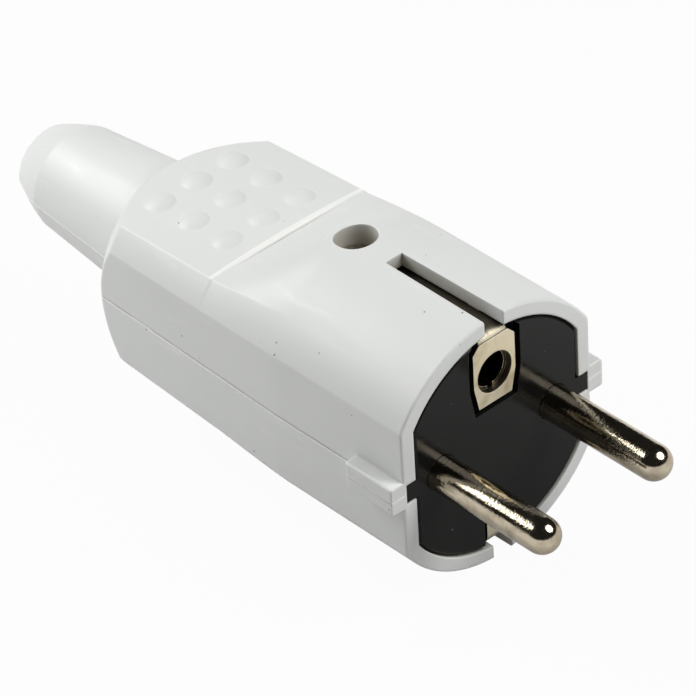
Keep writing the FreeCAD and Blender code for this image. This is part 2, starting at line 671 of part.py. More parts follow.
def earth_strap():
    # One stamped strip: front plate, upper strip, rear bridge with a terminal wing, lower strip.
    body = new_body("earth_strap")
    front = "(<strap_front> + <strap_thickness> / 2)"
    low = "-" + strap_middle
    path = new_sketch(body, "strap_path", "YZ_Plane")
    bend = "<strap_bend>"
    open_path(path, [
        (front, plate_top + " - <plate_corner>"),
        (front, "%s - %s" % (strap_middle, bend), bend),
        ("%s + %s" % (front, bend), strap_middle),
        ("<strap_rear> - %s" % bend, strap_middle, bend),
        ("<strap_rear>", "%s - %s" % (strap_middle, bend)),
        ("<strap_rear>", "%s + %s" % (low, bend), bend),
        ("<strap_rear> - %s" % bend, low),
        ("%s + %s" % (front, bend), low, bend),
        (front, "%s + %s" % (low, bend)),
        (front, "%s - <strap_thickness> / 2 + <tab_height>" % low),
    ])
    start = new_sketch(body, "strap_section", "XY_Plane", plate_top + " - <plate_corner>")
    half = "<strap_width> / 2"
    box(start, "-" + half, half, "<strap_front>", plate_rear)
    pipe = body.newObject("PartDesign::AdditivePipe", "strip")
    pipe.Profile = start
    pipe.Spine = path
    pipe.Transition = "Transformed"
    doc.recompute()
    plate = new_sketch(body, "front_plate", "XZ_Plane", "-<strap_front>")
    plate_outline(plate, "0")
    extrude(body, "Pad", plate, "<strap_thickness>", backwards=True)
    wing = new_sketch(body, "wing", "XZ_Plane", "-(<strap_rear> - <strap_thickness> / 2)")
    low_edge = "<wing_middle> - <wing_height> / 2"
    high_edge = "<wing_middle> + <wing_height> / 2"
    box(wing, "-<wing_reach>", "0", low_edge, high_edge)
    extrude(body, "Pad", wing, "<strap_thickness>", backwards=True)
    hole = circle(new_sketch(body, "earth_hole_cut", "XZ_Plane"), "0", "<earth_height>", "<earth_hole> / 2")
    extrude(body, "Pocket", hole, plate_rear + " + <strap_bend>")
    thread = new_sketch(body, "earth_thread", "XZ_Plane", "-(<strap_rear> - <strap_thickness>)")
    circle(thread, "-<wing_screw>", "<wing_middle>", "<earth_screw> / 2 + <pin_fit>")
    extrude(body, "Pocket", thread, "2 * <strap_thickness>")
    return body


def open_path(sketch, corners):
    # Open chain of lines and quarter bends; a bend leaves each corner that has a radius.
    places = [FreeCAD.Vector(value_of(corner[0]), value_of(corner[1]), 0) for corner in corners]
    last_end = None
    for number in range(len(corners) - 1):
        start = places[number]
        finish = places[number + 1]
        if len(corners[number]) == 2:
            edge = sketch.addGeometry(Part.LineSegment(start, finish))
            first, last = 1, 2
        else:
            before = (start - places[number - 1]).normalize()
            turn = before.cross(finish - start).z
            side = FreeCAD.Vector(-before.y, before.x, 0) * (1 if turn > 0 else -1)
            radius = value_of(corners[number][2])
            centre = start + side * radius
            outwards = (start + finish) * 0.5 - centre
            arc = Part.ArcOfCircle(start, centre + outwards.normalize() * radius, finish)
            edge = sketch.addGeometry(arc)
            first, last = (1, 2) if turn > 0 else (2, 1)
            index = sketch.addConstraint(Sketcher.Constraint("Radius", edge, radius))
            bind(sketch, "Constraints[%d]" % index, corners[number][2])
        if last_end:
            sketch.addConstraint(Sketcher.Constraint("Coincident", last_end[0], last_end[1], edge, first))
        hold(sketch, "DistanceX", edge, first, corners[number][0])
        hold(sketch, "DistanceY", edge, first, corners[number][1])
        last_end = (edge, last)
    hold(sketch, "DistanceX", last_end[0], last_end[1], corners[-1][0])
    hold(sketch, "DistanceY", last_end[0], last_end[1], corners[-1][1])
    return sketch


def contact_pin(label, side):
    # Turned pin with a round tip; its thicker end is drilled for the conductor.
    body = new_body(label)
    radius = "<pin_diameter> / 2"
    head = "<pin_head_diameter> / 2"
    back = "<boss_end> + <pin_head_length>"
    turned = outline(new_sketch(body, "turned", "XY_Plane"), [
        ("0", "-<pin_length>", radius),
        (radius, "-<pin_length> + " + radius),
        (radius, "<face_recess>"),
        ("<pin_neck> / 2", "<face_recess>"),
        ("<pin_neck> / 2", "<face_recess> + <pin_lip>"),
        ("<pin_root_diameter> / 2", "<face_recess> + <pin_lip>"),
        ("<pin_root_diameter> / 2", "<boss_end>"),
        (head, "<boss_end>"),
        (head, back),
        ("<wire_hole> / 2", back),
        ("<wire_hole> / 2", back + " - <wire_depth>"),
        ("0", back + " - <wire_depth>"),
    ])
    revolve(body, "Revolution", turned, 360)
    thread = new_sketch(body, "terminal_thread", "XY_Plane")
    circle(thread, "0", "<boss_end> + <terminal_setback>", "<terminal_screw> / 2 + <pin_fit>")
    extrude(body, "Pocket", thread, "<pin_head_diameter>", backwards=True)
    bind(body, "Placement.Base.x", "%d * <pin_spacing> / 2" % side)
    return body


def slotted_screw(label, head, head_height, thread, length):
    # Cheese-head screw standing on Z = 0 with its thread downwards; the driver slot runs along X.
    body = new_body(label)
    stem = circle(new_sketch(body, "stem", "XY_Plane"), "0", "0", thread + " / 2")
    extrude(body, "Pad", stem, length, backwards=True)
    cap = circle(new_sketch(body, "cap", "XY_Plane"), "0", "0", head + " / 2")
    extrude(body, "Pad", cap, head_height)
    slot = new_sketch(body, "driver", "XY_Plane", head_height)
    box(slot, "-" + head, head, "-<driver_slot> / 2", "<driver_slot> / 2")
    extrude(body, "Pocket", slot, "<driver_depth>")
    return body


def place(body, x, y, z, rotation=None):
    bind(body, "Placement.Base.x", x)
    bind(body, "Placement.Base.y", y)
    bind(body, "Placement.Base.z", z)
    if rotation:
        body.Placement = FreeCAD.Placement(body.Placement.Base, rotation)
    return body


def earth_socket_tube():
    # Split contact tube pressed behind the earth plate.
    body = new_body("earth_socket_tube")
    ring = new_sketch(body, "tube", "XZ_Plane")
    circle(ring, "0", "0", "<tube_bore> / 2 + <tube_wall>")
    circle(ring, "0", "0", "<tube_bore> / 2")
    extrude(body, "Pad", ring, "<tube_length>", backwards=True)
    slit = new_sketch(body, "slit", "XZ_Plane")
    box(slit, "-<tube_slit> / 2", "<tube_slit> / 2", "-<tube_bore>", "0")
    extrude(body, "Pocket", slit, "<tube_length>")
    return place(body, "0", plate_rear, "<earth_height>")


def earth_washer():
    body = new_body("earth_terminal_washer")
    square = new_sketch(body, "square", "XZ_Plane")
    half = "<washer_side> / 2"
    box(square, "-" + half, half, "-" + half, half)
    circle(square, "0", "0", "<earth_screw> / 2 + <screw_room>")
    extrude(body, "Pad", square, "<washer_thickness>", backwards=True)
    return place(body, "-<wing_screw>", "<strap_rear> + <strap_thickness> / 2", "<wing_middle>")


def housing_nut():
    body = new_body("housing_nut")
    plan = hexagon(new_sketch(body, "plan", "XY_Plane"), "0", "<nut_flats> / 2")
    circle(plan, "0", "0", "<screw_diameter> / 2 + <pin_fit>")
    extrude(body, "Pad", plan, "<nut_height>", backwards=True)
    return place(body, "0", "<screw_place>", "-<nut_seat>")


def cord_clamp_bar():
    # Saddle bar with a round hollow under its middle for the cord.
    body = new_body("cord_clamp_bar")
    side = new_sketch(body, "profile", "XZ_Plane")
    half = "<clamp_bar> / 2"
    mouth = "sqrt(<clamp_hollow>^2 - (<clamp_hollow> - <clamp_bite>)^2)"
    outline(side, [
        ("-" + half, "0"),
        ("-" + mouth, "0", "-<clamp_hollow>"),
        (mouth, "0"),
        (half, "0"),
        (half, "<clamp_bar_height>"),
        ("-" + half, "<clamp_bar_height>"),
    ])
    extrude(body, "Pad", side, "<clamp_bar_width>", backwards=True)
    holes = new_sketch(body, "holes", "XY_Plane")
    for sign in ("", "-"):
        across = sign + "<clamp_spacing> / 2"
        circle(holes, across, "<clamp_bar_width> / 2", "<clamp_screw> / 2 + <screw_room>")
    extrude(body, "Pocket", holes, "<clamp_bar_height>", backwards=True)
    return place(body, "0", "<clamp_place> - <clamp_bar_width> / 2", "-<clamp_floor>")


def build():
    parts = [upper_shell(), lower_shell(), contact_carrier(), earth_strap(), earth_socket_tube()]
    sides = [("live", -1), ("neutral", 1)]
    for name, side in sides:
        parts.append(contact_pin(name + "_pin", side))
        screw = slotted_screw(name + "_terminal_screw", "<terminal_head>", "<terminal_head_height>",
                              "<terminal_screw>", "<terminal_stickout> + <pin_head_diameter> / 2")
        seat = "<pin_head_diameter> / 2 + <terminal_stickout>"
        place(screw, "%d * <pin_spacing> / 2" % side, "<boss_end> + <terminal_setback>", seat)
        parts.append(screw)
    screw = slotted_screw("earth_terminal_screw", "<earth_screw_head>", "<terminal_head_height>",
                          "<earth_screw>", "<earth_screw_length>")
    facing_back = FreeCAD.Rotation(FreeCAD.Vector(1, 0, 0), -90)
    behind = "<strap_rear> + <strap_thickness> / 2 + <washer_thickness>"
    parts.append(place(screw, "-<wing_screw>", behind, "<wing_middle>", facing_back))
    parts.append(earth_washer())
    screw = slotted_screw("housing_screw", "<screw_head>", "<screw_head_height>", "<screw_diameter>",
                          "<screw_seat> + <nut_seat> + <nut_height>")
    parts.append(place(screw, "0", "<screw_place>", "<screw_seat>"))
    parts.append(housing_nut())
    parts.append(cord_clamp_bar())
    for name, side in [("left", -1), ("right", 1)]:
        screw = slotted_screw(name + "_clamp_screw", "<clamp_screw_head>", "<clamp_screw_head_height>",
                              "<clamp_screw>", "<clamp_screw_length>")
        top = "<clamp_bar_height> - <clamp_floor>"
        parts.append(place(screw, "%d * <clamp_spacing> / 2" % side, "<clamp_place>", top))
    doc.recompute()
    return parts


def check(parts):
    for item in doc.Objects:
        if "Invalid" in item.State or "Error" in item.State:
            raise ValueError("%s failed: %s" % (item.Label, item.State))
    for part in parts:
        if part.Shape.isNull() or not part.Shape.isValid():
            raise ValueError("%s has no valid shape" % part.Label)
        if len(part.Shape.Solids) != 1:
            raise ValueError("%s has %d solids" % (part.Label, len(part.Shape.Solids)))


def write(parts):
    os.makedirs("parts", exist_ok=True)
    for part in parts:
        part.Shape.exportStep("parts/%s.step" % part.Label)


parts = build()
check(parts)
write(parts)
for part in parts:
    box_of = part.Shape.BoundBox
    print("%-24s volume %9.1f  y %6.1f to %6.1f" % (part.Label, part.Shape.Volume, box_of.YMin, box_of.YMax))
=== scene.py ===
import bpy
import math
from mathutils import Matrix, Vector


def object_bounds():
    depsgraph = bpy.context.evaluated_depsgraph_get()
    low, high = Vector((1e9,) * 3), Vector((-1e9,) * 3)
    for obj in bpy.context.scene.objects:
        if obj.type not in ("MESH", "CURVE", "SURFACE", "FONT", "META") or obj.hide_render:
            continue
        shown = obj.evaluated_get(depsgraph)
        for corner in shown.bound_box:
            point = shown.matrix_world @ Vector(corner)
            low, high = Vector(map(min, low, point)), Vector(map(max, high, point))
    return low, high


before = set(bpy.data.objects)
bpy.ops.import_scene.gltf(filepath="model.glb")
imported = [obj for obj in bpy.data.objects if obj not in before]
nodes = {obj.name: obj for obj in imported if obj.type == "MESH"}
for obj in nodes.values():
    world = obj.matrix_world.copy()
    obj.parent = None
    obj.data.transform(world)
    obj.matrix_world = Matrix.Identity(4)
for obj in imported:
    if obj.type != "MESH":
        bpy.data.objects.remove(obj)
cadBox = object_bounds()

mm = 0.001  # sizes below are written in millimetres
print("frame loaded:", len(nodes), "pieces")


# sRGB hex to the linear values that the sockets take
def linear(hexColour):
    shares = [int(hexColour[at:at + 2], 16) / 255 for at in (1, 3, 5)]
    return [s / 12.92 if s <= 0.04045 else ((s + 0.055) / 1.055) ** 2.4 for s in shares] + [1.0]


# one node with its settings; an input is a plain value or the socket that feeds it
def addNode(tree, kind, inputs, **settings):
    node = tree.nodes.new("ShaderNode" + kind)
    for name, value in settings.items():
        setattr(node, name, value)
    for name, value in inputs.items():
        if isinstance(value, bpy.types.NodeSocket):
            tree.links.new(value, node.inputs[name])
        else:
            node.inputs[name].default_value = value
    return node


def startMaterial(name):
    material = bpy.data.materials.new(name)
    material.use_nodes = True
    material.node_tree.nodes.clear()
    return material, material.node_tree


# texture scale for a feature of this many millimetres
def perMm(size):
    return 1.0 / (size * mm)


# a colour mix has its factor at 0, its colours at 6 and 7 and its result at 2
mixFactor, mixFirst, mixSecond, mixResult = 0, 6, 7, 2


# From and To are the levels of a noise, of openness or of an edge between which a mask runs
housingLook = {
    "body": "#EBEDEB", "cooler": "#E5E7E4", "tintSize": 16.0, "tintDetail": 3.0,
    "ior": 1.54, "dull": 0.5, "shiny": 0.36, "sheenFrom": 0.3, "sheenTo": 0.7,
    "speck": "#7F7B70", "speckCell": 3.4, "speckRadius": 0.11, "speckFade": 1.6, "speckCore": 0.6,
    "speckAbove": 0.33,
    "rub": "#F6F6F3", "rubSize": 1.6, "rubStretch": (1.0, 0.12, 1.0), "rubDetail": 5.0, "rubRough": 0.7,
    "rubFrom": 0.6, "rubTo": 0.76, "rubMost": 0.7,
    "shadeTone": "#948A76", "hollow": 6.0, "shadeFrom": 0.6, "shadeTo": 0.25, "shadeMost": 0.65,
    "openFrom": 0.6, "openTo": 0.85,
    "edgeHighlight": "#FCFCF8", "edge": 0.4, "cornerFrom": 0.975, "cornerTo": 0.94, "samples": 8,
    "seam": 0.2, "seamCore": 0.5, "seamBreak": 6.0, "breakDetail": 2.0, "breakFrom": 0.36, "breakTo": 0.44,
    "flashTilt": 1.6,
    "padEdge": 37.25, "padHighlight": 0.4, "padCore": 0.6, "padLow": 12.05,
    "grit": 0.35, "gritDetail": 2.0, "gritStrength": 0.25, "gritDepth": 0.02,
}


# ABS, injection moulded in a spark-eroded mould: a soft white with a satin break in the light,
# a few dark specks in the moulding, pale rub marks, edges and lines painted bright as highlights
# and brownish painted shade in the hollows
def mouldedWhiteAbs(look):
    material, tree = startMaterial("mouldedWhiteAbs")
    place = addNode(tree, "TexCoord", {}).outputs["Object"]
    tint = addNode(tree, "TexNoise", {
        "Vector": place, "Scale": perMm(look["tintSize"]), "Detail": look["tintDetail"],
    })
    body = addNode(tree, "Mix", {
        mixFactor: tint.outputs["Fac"], mixFirst: linear(look["body"]), mixSecond: linear(look["cooler"]),
    }, data_type="RGBA")
    # two cells in three carry a speck, and few of them reach the surface
    cells = addNode(tree, "TexVoronoi", {"Vector": place, "Scale": perMm(look["speckCell"])})
    core = addNode(tree, "MapRange", {
        "Value": cells.outputs["Distance"],
        "From Min": look["speckRadius"] / look["speckCell"] * look["speckFade"],
        "From Max": look["speckRadius"] / look["speckCell"] * look["speckCore"],
    })
    lot = addNode(tree, "SeparateColor", {"Color": cells.outputs["Color"]})
    picked = addNode(tree, "Math", {0: lot.outputs["Red"], 1: look["speckAbove"]}, operation="GREATER_THAN")
    speck = addNode(tree, "Math", {
        0: core.outputs["Result"], 1: picked.outputs["Value"],
    }, operation="MULTIPLY")
    speckled = addNode(tree, "Mix", {
        mixFactor: speck.outputs["Value"], mixFirst: body.outputs[mixResult],
        mixSecond: linear(look["speck"]),
    }, data_type="RGBA")
    # rub marks run along the plug
    along = addNode(tree, "Mapping", {"Vector": place, "Scale": look["rubStretch"]})
    rubNoise = addNode(tree, "TexNoise", {
        "Vector": along.outputs["Vector"], "Scale": perMm(look["rubSize"]),
        "Detail": look["rubDetail"], "Roughness": look["rubRough"],
    })
    rub = addNode(tree, "MapRange", {
        "Value": rubNoise.outputs["Fac"], "From Min": look["rubFrom"], "From Max": look["rubTo"],
        "To Max": look["rubMost"],
    })
    marked = addNode(tree, "Mix", {
        mixFactor: rub.outputs["Result"], mixFirst: speckled.outputs[mixResult],
        mixSecond: linear(look["rub"]),
    }, data_type="RGBA")
    # painted shade: brownish darkening where the surface is hemmed in
    room = addNode(tree, "AmbientOcclusion", {
        "Distance": look["hollow"] * mm,
    }, samples=look["samples"]).outputs["AO"]
    shadeMask = addNode(tree, "MapRange", {
        "Value": room, "From Min": look["shadeFrom"], "From Max": look["shadeTo"], "To Max": look["shadeMost"],
    })
    shaded = addNode(tree, "Mix", {
        mixFactor: shadeMask.outputs["Result"], mixFirst: marked.outputs[mixResult],
        mixSecond: linear(look["shadeTone"]),
    }, data_type="RGBA")
    # painted highlight: an outer edge is where the rounded normal leaves the flat one in the open,
    # and there it is drawn bright
    edge = addNode(tree, "Bevel", {"Radius": look["edge"] * mm}, samples=look["samples"])
    flat = addNode(tree, "NewGeometry", {})
    turn = addNode(tree, "VectorMath", {
        0: edge.outputs["Normal"], 1: flat.outputs["Normal"],
    }, operation="DOT_PRODUCT")
    corner = addNode(tree, "MapRange", {
        "Value": turn.outputs["Value"], "From Min": look["cornerFrom"], "From Max": look["cornerTo"],
    })
    free = addNode(tree, "MapRange", {
        "Value": room, "From Min": look["openFrom"], "From Max": look["openTo"],
    })
    outer = addNode(tree, "Math", {
        0: corner.outputs["Result"], 1: free.outputs["Result"],
    }, operation="MULTIPLY")
    # painted highlight: the parting line is drawn as a thin bright line, broken here and there
    spot = addNode(tree, "SeparateXYZ", {"Vector": place})
    away = addNode(tree, "Math", {0: spot.outputs["Z"]}, operation="ABSOLUTE")
    flash = addNode(tree, "MapRange", {
        "Value": away.outputs["Value"], "From Min": look["seam"] * mm,
        "From Max": look["seam"] * look["seamCore"] * mm,
    })
    breaks = addNode(tree, "TexNoise", {
        "Vector": place, "Scale": perMm(look["seamBreak"]), "Detail": look["breakDetail"],
    })
    kept = addNode(tree, "MapRange", {
        "Value": breaks.outputs["Fac"], "From Min": look["breakFrom"], "From Max": look["breakTo"],
    })
    seam = addNode(tree, "Math", {
        0: flash.outputs["Result"], 1: kept.outputs["Result"],
    }, operation="MULTIPLY")
    # painted highlight: a bright line along the upper pad's front edge
    pastEdge = addNode(tree, "Math", {0: spot.outputs["Y"], 1: look["padEdge"] * mm}, operation="SUBTRACT")
    offEdge = addNode(tree, "Math", {0: pastEdge.outputs["Value"]}, operation="ABSOLUTE")
    padHighlight = addNode(tree, "MapRange", {
        "Value": offEdge.outputs["Value"], "From Min": look["padHighlight"] * mm,
        "From Max": look["padHighlight"] * look["padCore"] * mm,
    })
    onTop = addNode(tree, "Math", {0: spot.outputs["Z"], 1: look["padLow"] * mm}, operation="GREATER_THAN")
    padLine = addNode(tree, "Math", {
        0: padHighlight.outputs["Result"], 1: onTop.outputs["Value"],
    }, operation="MULTIPLY")
    line = addNode(tree, "Math", {
        0: seam.outputs["Value"], 1: padLine.outputs["Value"],
    }, operation="MAXIMUM")
    brightened = addNode(tree, "Math", {
        0: outer.outputs["Value"], 1: line.outputs["Value"],
    }, operation="MAXIMUM")
    colour = addNode(tree, "Mix", {
        mixFactor: brightened.outputs["Value"], mixFirst: shaded.outputs[mixResult],
        mixSecond: linear(look["edgeHighlight"]),
    }, data_type="RGBA")
    sheen = addNode(tree, "MapRange", {
        "Value": rubNoise.outputs["Fac"], "From Min": look["sheenFrom"], "From Max": look["sheenTo"],
        "To Min": look["dull"], "To Max": look["shiny"],
    })
    # the flash is a small ridge that catches the light from above
    raised = addNode(tree, "VectorMath", {
        0: (0.0, 0.0, look["flashTilt"]), 1: seam.outputs["Value"], 2: edge.outputs["Normal"],
    }, operation="MULTIPLY_ADD")
    ridge = addNode(tree, "VectorMath", {0: raised.outputs["Vector"]}, operation="NORMALIZE")
    # the real grit is about 0.03 mm and would not show, so it is drawn over ten times as coarse
    grit = addNode(tree, "TexNoise", {
        "Vector": place, "Scale": perMm(look["grit"]), "Detail": look["gritDetail"],
    })
    relief = addNode(tree, "Bump", {
        "Height": grit.outputs["Fac"], "Strength": look["gritStrength"],
        "Distance": look["gritDepth"] * mm, "Normal": ridge.outputs["Vector"],
    })
    shader = addNode(tree, "BsdfPrincipled", {
        "Base Color": colour.outputs[mixResult], "Roughness": sheen.outputs["Result"], "IOR": look["ior"],
        "Normal": relief.outputs["Normal"],
    })
    addNode(tree, "OutputMaterial", {"Surface": shader.outputs["BSDF"]})
    return material


carrierLook = {
    "body": "#111110", "greyer": "#1A1A18", "tintSize": 5.0, "tintDetail": 4.0,
    "ior": 1.53, "gloss": 0.14, "dull": 0.26, "shiny": 0.1, "sheenFrom": 0.3, "sheenTo": 0.7,
    "dust": "#8E8C85", "dustCell": 1.8, "dustRadius": 0.1, "dustFade": 1.8, "dustCore": 0.6, "dustAbove": 0.4,
    "edge": 0.15, "samples": 6,
    "flowSize": 3.0, "flowDetail": 1.0, "flowStrength": 0.2, "flowDepth": 0.05,
    "grit": 0.3, "gritDetail": 2.0, "gritStrength": 0.1, "gritDepth": 0.01,
}


# polyamide, injection moulded in a polished mould: nearly black, glossy enough to mirror the pins,
# with slow waves from the flow of the melt and a little grey dust
def mouldedBlackPolyamide(look):
    material, tree = startMaterial("mouldedBlackPolyamide")
    place = addNode(tree, "TexCoord", {}).outputs["Object"]
    tint = addNode(tree, "TexNoise", {
        "Vector": place, "Scale": perMm(look["tintSize"]), "Detail": look["tintDetail"],
    })
    body = addNode(tree, "Mix", {
        mixFactor: tint.outputs["Fac"], mixFirst: linear(look["body"]), mixSecond: linear(look["greyer"]),
    }, data_type="RGBA")
    cells = addNode(tree, "TexVoronoi", {"Vector": place, "Scale": perMm(look["dustCell"])})
    core = addNode(tree, "MapRange", {
        "Value": cells.outputs["Distance"],
        "From Min": look["dustRadius"] / look["dustCell"] * look["dustFade"],
        "From Max": look["dustRadius"] / look["dustCell"] * look["dustCore"],
    })
    lot = addNode(tree, "SeparateColor", {"Color": cells.outputs["Color"]})
    picked = addNode(tree, "Math", {0: lot.outputs["Green"], 1: look["dustAbove"]}, operation="GREATER_THAN")
    dust = addNode(tree, "Math", {
        0: core.outputs["Result"], 1: picked.outputs["Value"],
    }, operation="MULTIPLY")
    colour = addNode(tree, "Mix", {
        mixFactor: dust.outputs["Value"], mixFirst: body.outputs[mixResult], mixSecond: linear(look["dust"]),
    }, data_type="RGBA")
    sheen = addNode(tree, "MapRange", {
        "Value": tint.outputs["Fac"], "From Min": look["sheenFrom"], "From Max": look["sheenTo"],
        "To Min": look["shiny"], "To Max": look["dull"],
    })
    edge = addNode(tree, "Bevel", {"Radius": look["edge"] * mm}, samples=look["samples"])
    flow = addNode(tree, "TexNoise", {
        "Vector": place, "Scale": perMm(look["flowSize"]), "Detail": look["flowDetail"],
    })
    wave = addNode(tree, "Bump", {
        "Height": flow.outputs["Fac"], "Strength": look["flowStrength"],
        "Distance": look["flowDepth"] * mm, "Normal": edge.outputs["Normal"],
    })
    # the mould's polish marks are finer than this and would not show, so they are drawn coarser
    grit = addNode(tree, "TexNoise", {
        "Vector": place, "Scale": perMm(look["grit"]), "Detail": look["gritDetail"],
    })
    relief = addNode(tree, "Bump", {
        "Height": grit.outputs["Fac"], "Strength": look["gritStrength"],
        "Distance": look["gritDepth"] * mm, "Normal": wave.outputs["Normal"],
    })
    shader = addNode(tree, "BsdfPrincipled", {
        "Base Color": colour.outputs[mixResult], "Roughness": sheen.outputs["Result"], "IOR": look["ior"],
        "Specular IOR Level": look["gloss"], "Normal": relief.outputs["Normal"],
    })
    addNode(tree, "OutputMaterial", {"Surface": shader.outputs["BSDF"]})
    return material


pinLook = {
    "body": "#C0B5A0", "handled": "#9B8F79", "tintSize": 2.2, "tintDetail": 5.0,
    "stainFrom": 0.45, "stainTo": 0.75,
    "dull": 0.16, "shiny": 0.07, "sheenFrom": 0.35, "sheenTo": 0.65,
    "edge": 0.1, "samples": 6,
    "turning": 0.22, "turningStretch": (0.12, 1.0, 0.12), "turningDetail": 2.0,
    "turningStrength": 0.12, "turningDepth": 0.006,
    "grain": 0.27, "grainDetail": 1.0, "grainDepth": 0.024,
    "tipFrom": -16.0, "tip": -17.5, "tipGrain": 0.15,
}


# brass turned on a lathe and nickel plated: warm grey metal, fine rings left by the tool and
# a grainy plating that breaks the long highlight into speckles
def turnedNickelBrass(look):
    material, tree = startMaterial("turnedNickelBrass")
    place = addNode(tree, "TexCoord", {}).outputs["Object"]
    tint = addNode(tree, "TexNoise", {
        "Vector": place, "Scale": perMm(look["tintSize"]), "Detail": look["tintDetail"],
    })
    stain = addNode(tree, "MapRange", {
        "Value": tint.outputs["Fac"], "From Min": look["stainFrom"], "From Max": look["stainTo"],
    })
    colour = addNode(tree, "Mix", {
        mixFactor: stain.outputs["Result"], mixFirst: linear(look["body"]),
        mixSecond: linear(look["handled"]),
    }, data_type="RGBA")
    # the tool's feed is about 0.05 mm; the rings are drawn four times as wide so that they show
    around = addNode(tree, "Mapping", {"Vector": place, "Scale": look["turningStretch"]})
    rings = addNode(tree, "TexNoise", {
        "Vector": around.outputs["Vector"], "Scale": perMm(look["turning"]), "Detail": look["turningDetail"],
    })
    # the plating's grain is finer than a pixel and is drawn coarser so that it shows
    grain = addNode(tree, "TexNoise", {
        "Vector": place, "Scale": perMm(look["grain"]), "Detail": look["grainDetail"],
    })
    sheen = addNode(tree, "MapRange", {
        "Value": grain.outputs["Fac"], "From Min": look["sheenFrom"], "From Max": look["sheenTo"],
        "To Min": look["shiny"], "To Max": look["dull"],
    })
    edge = addNode(tree, "Bevel", {"Radius": look["edge"] * mm}, samples=look["samples"])
    turned = addNode(tree, "Bump", {
        "Height": rings.outputs["Fac"], "Strength": look["turningStrength"],
        "Distance": look["turningDepth"] * mm, "Normal": edge.outputs["Normal"],
    })
    # the tip is polished by the sockets it has been in
    spot = addNode(tree, "SeparateXYZ", {"Vector": place})
    rough = addNode(tree, "MapRange", {
        "Value": spot.outputs["Y"], "From Min": look["tip"] * mm, "From Max": look["tipFrom"] * mm,
        "To Min": look["tipGrain"],
    })
    plated = addNode(tree, "Bump", {
        "Height": grain.outputs["Fac"], "Strength": rough.outputs["Result"],
        "Distance": look["grainDepth"] * mm, "Normal": turned.outputs["Normal"],
    })
    shader = addNode(tree, "BsdfPrincipled", {
        "Base Color": colour.outputs[mixResult], "Metallic": 1.0, "Roughness": sheen.outputs["Result"],
        "Normal": plated.outputs["Normal"],
    })
    addNode(tree, "OutputMaterial", {"Surface": shader.outputs["BSDF"]})
    return material


stripLook = {
    "body": "#E5DBC1", "tarnish": "#B6A684", "tintSize": 3.0, "tintDetail": 4.0,
    "stainFrom": 0.5, "stainTo": 0.8,
    "dull": 0.58, "shiny": 0.38, "sheenFrom": 0.3, "sheenTo": 0.7,
    "shadeTone": "#231F1B", "hollow": 6.0, "shadeFrom": 0.92, "shadeTo": 0.5, "shadeMost": 0.95,
    "facingFrom": 0.5, "facingTo": 0.85, "facingMost": 0.8,
    "worn": "#F4EDDE", "edge": 0.1, "wornFrom": 0.98, "wornTo": 0.8, "samples": 8,
    "rolling": 0.3, "rollingStretch": (1.0, 0.08, 0.08), "rollingDetail": 2.0,
    "rollingStrength": 0.3, "rollingDepth": 0.01,
}
